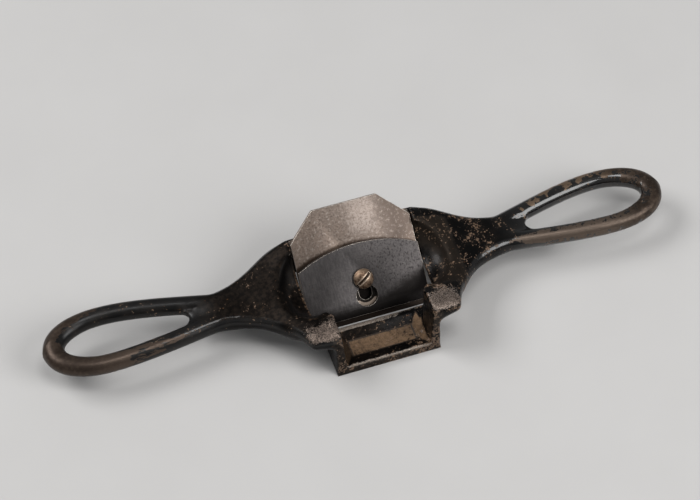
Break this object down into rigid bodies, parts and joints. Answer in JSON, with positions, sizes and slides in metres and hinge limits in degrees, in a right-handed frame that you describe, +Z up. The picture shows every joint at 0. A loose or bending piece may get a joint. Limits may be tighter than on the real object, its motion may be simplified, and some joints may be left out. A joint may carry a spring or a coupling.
{
  "type": "rabbet spokeshave",
  "caption": "Metal spokeshave for rabbets: cast iron stock with open loop handles, a cutter as wide as the sole, and a keyhole cap iron held by a slotted screw",
  "frame": {"origin": "on the plane of the sole, under the middle of the whole tool's box", "axes": "+X to the right along the handles, -Y towards the toe and the user's view of the cutter's face, +Z up from the sole"},
  "size_m": [0.2666, 0.0596, 0.0349],
  "materials": {
    "japanned_iron": "black japanning over cast iron, chipped and worn to brown metal on edges, handles and shoulders",
    "cutter_steel": "bare tool steel, mottled warm grey with age",
    "cap_steel": "dark blue-grey steel, ground along its length, bright on its edges",
    "screw_brass": "tarnished bronze-coloured head, worn bright"
  },
  "bodies": {
    "stock": {"stock": "japanned_iron"},
    "cutter": {"cutter": "cutter_steel"},
    "cap_iron": {"cap_iron": "cap_steel"},
    "cap_screw": {"cap_screw": "screw_brass"}
  },
  "joints": [
    {"name": "cutter_slide", "type": "slide", "parent": "stock", "child": "cutter", "axis": [0, 0.7071, 0.7071], "range_m": [-0.0024, 0.0066]},
    {"name": "cap_slide", "type": "slide", "parent": "stock", "child": "cap_iron", "axis": [0, 0.7071, 0.7071], "range_m": [0, 0.0072]},
    {"name": "screw_turn", "type": "hinge", "parent": "stock", "child": "cap_screw", "pos_m": [0, 0.0055, 0.01228], "axis": [0, -0.7071, 0.7071], "continuous": true}
  ]
}
